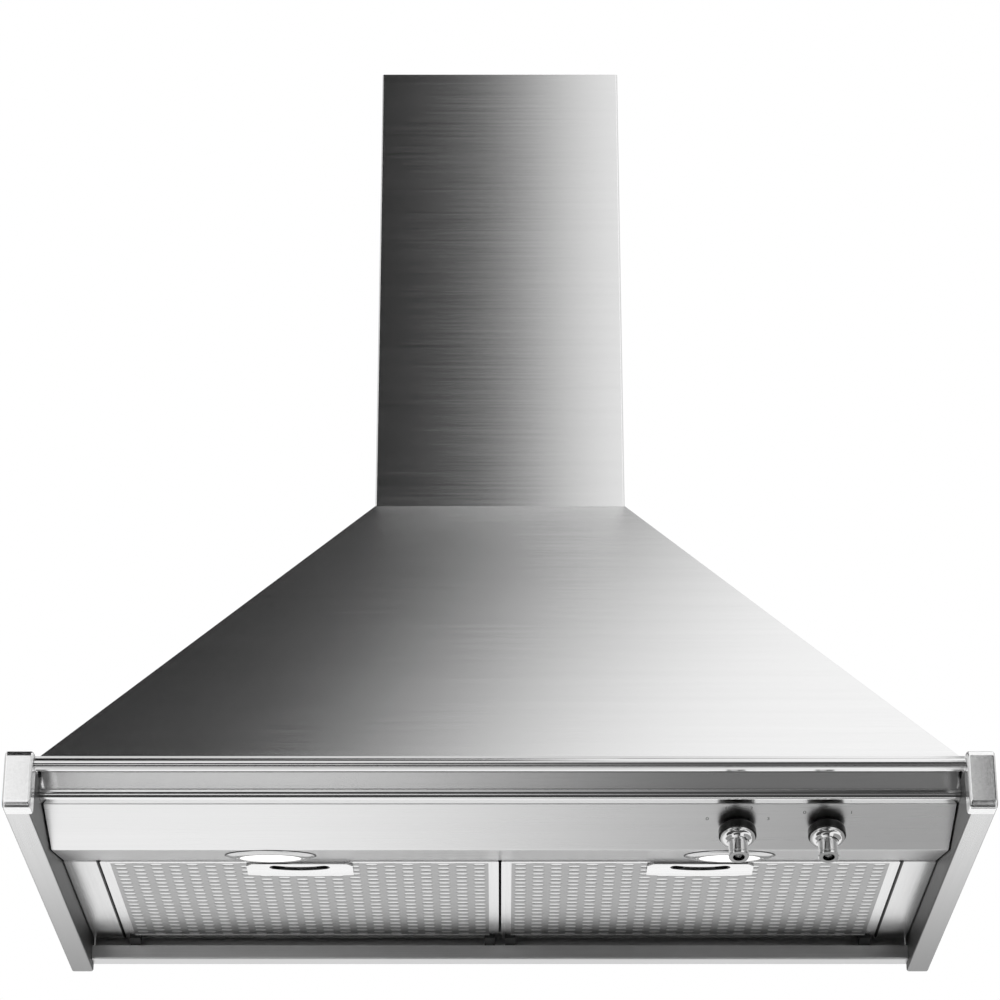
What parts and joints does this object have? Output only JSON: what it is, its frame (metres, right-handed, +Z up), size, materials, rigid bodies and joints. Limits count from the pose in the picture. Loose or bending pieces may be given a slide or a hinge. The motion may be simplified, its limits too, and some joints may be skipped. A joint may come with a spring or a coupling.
{
  "type": "chimney range hood",
  "caption": "Wall-mounted pyramid range hood with a telescopic chimney, swing-down grease filters, lamps, rotary knobs and an inner centrifugal blower.",
  "frame": {"origin": "on the wall plane, halfway along the hood's width and level with the underside of the grease filters", "axes": "+Z up the chimney, +Y into the wall, +X to the right as seen from the front"},
  "size_m": [0.9, 0.53, 0.9703],
  "materials": {
    "stainless": "brushed along its length",
    "galvanised": "galvanised sheet",
    "chrome": "polished",
    "black_plastic": "satin black",
    "frosted_glass": "frosted",
    "bulb_glass": "clear",
    "filter_steel": "satin",
    "filter_mesh": "expanded mesh",
    "motor_paint": "semi-gloss",
    "impeller_metal": "plain",
    "plain_steel": "plain"
  },
  "bodies": {
    "hood": {"back_panel": "galvanised", "blower_brackets": "galvanised", "blower_housing": "galvanised", "cable_gland": "black_plastic", "canopy": "stainless", "control_panel": "stainless", "duct_collar": "galvanised", "end_cap_left": "stainless", "end_cap_right": "stainless", "fan_motor": "motor_paint", "flap_pin": "plain_steel", "front_fascia": "stainless", "front_rail": "stainless", "inlet_ring": "galvanised", "lamp_bezel_left": "chrome", "lamp_bezel_right": "chrome", "lamp_bulb_left": "bulb_glass", "lamp_bulb_right": "bulb_glass", "lamp_housing_left": "galvanised", "lamp_housing_right": "galvanised", "lamp_lens_left": "frosted_glass", "lamp_lens_right": "frosted_glass", "lower_chimney": "stainless", "margin_plate_left": "stainless", "margin_plate_right": "stainless", "motor_bracket": "galvanised", "rear_rail": "stainless", "rotary_switch_fan": "black_plastic", "rotary_switch_light": "black_plastic", "side_bar_left": "stainless", "side_bar_right": "stainless", "terminal_box": "black_plastic"},
    "upper_chimney": {"upper_chimney": "stainless", "chimney_bracket": "galvanised"},
    "knob_fan": {"knob_skirt_fan": "black_plastic", "knob_body_fan": "chrome", "knob_spindle_fan": "plain_steel"},
    "knob_light": {"knob_skirt_light": "black_plastic", "knob_body_light": "chrome", "knob_spindle_light": "plain_steel"},
    "impeller": {"impeller": "impeller_metal", "impeller_blades": "impeller_metal", "fan_shaft": "plain_steel"},
    "flap_left": {"flap_left": "galvanised"},
    "flap_right": {"flap_right": "galvanised"},
    "filter_left": {"filter_frame_left": "filter_steel", "filter_face_left": "filter_steel", "filter_mesh_left": "filter_mesh", "filter_handle_left": "filter_steel", "filter_lugs_left": "black_plastic", "latch_spring_left": "plain_steel"},
    "latch_left": {"filter_latch_left": "filter_steel"},
    "filter_right": {"filter_frame_right": "filter_steel", "filter_face_right": "filter_steel", "filter_mesh_right": "filter_mesh", "filter_handle_right": "filter_steel", "filter_lugs_right": "black_plastic", "latch_spring_right": "plain_steel"},
    "latch_right": {"filter_latch_right": "filter_steel"}
  },
  "joints": [
    {"name": "chimney_slide", "type": "slide", "parent": "hood", "child": "upper_chimney", "axis": [0, 0, 1], "range_m": [0, 0.3]},
    {"name": "fan_knob_turn", "type": "hinge", "parent": "hood", "child": "knob_fan", "pos_m": [0.223, -0.40231, -0.00566], "axis": [0, 0.296, 0.9552], "range_deg": [0, 135]},
    {"name": "light_knob_turn", "type": "hinge", "parent": "hood", "child": "knob_light", "pos_m": [0.307, -0.40231, -0.00566], "axis": [0, 0.296, 0.9552], "range_deg": [0, 90]},
    {"name": "impeller_spin", "type": "hinge", "parent": "hood", "child": "impeller", "pos_m": [0, -0.1945, 0.165], "axis": [1, 0, 0], "continuous": true},
    {"name": "flap_left_swing", "type": "hinge", "parent": "hood", "child": "flap_left", "pos_m": [0, -0.1145, 0.34], "axis": [0, 1, 0], "range_deg": [0, 75]},
    {"name": "flap_right_swing", "type": "hinge", "parent": "hood", "child": "flap_right", "pos_m": [0, -0.1145, 0.34], "axis": [0, -1, 0], "range_deg": [0, 75]},
    {"name": "filter_left_swing", "type": "hinge", "parent": "hood", "child": "filter_left", "pos_m": [0, -0.0204, -0.0086], "axis": [1, 0, 0], "range_deg": [0, 65]},
    {"name": "filter_right_swing", "type": "hinge", "parent": "hood", "child": "filter_right", "pos_m": [0, -0.0204, -0.0086], "axis": [1, 0, 0], "range_deg": [0, 65]},
    {"name": "latch_left_slide", "type": "slide", "parent": "filter_left", "child": "latch_left", "axis": [0, 1, 0], "range_m": [0, 0.006], "stiffness_N_per_m": 800, "springref_m": -0.003, "deforming": ["latch_spring_left"]},
    {"name": "latch_right_slide", "type": "slide", "parent": "filter_right", "child": "latch_right", "axis": [0, 1, 0], "range_m": [0, 0.006], "stiffness_N_per_m": 800, "springref_m": -0.003, "deforming": ["latch_spring_right"]}
  ]
}
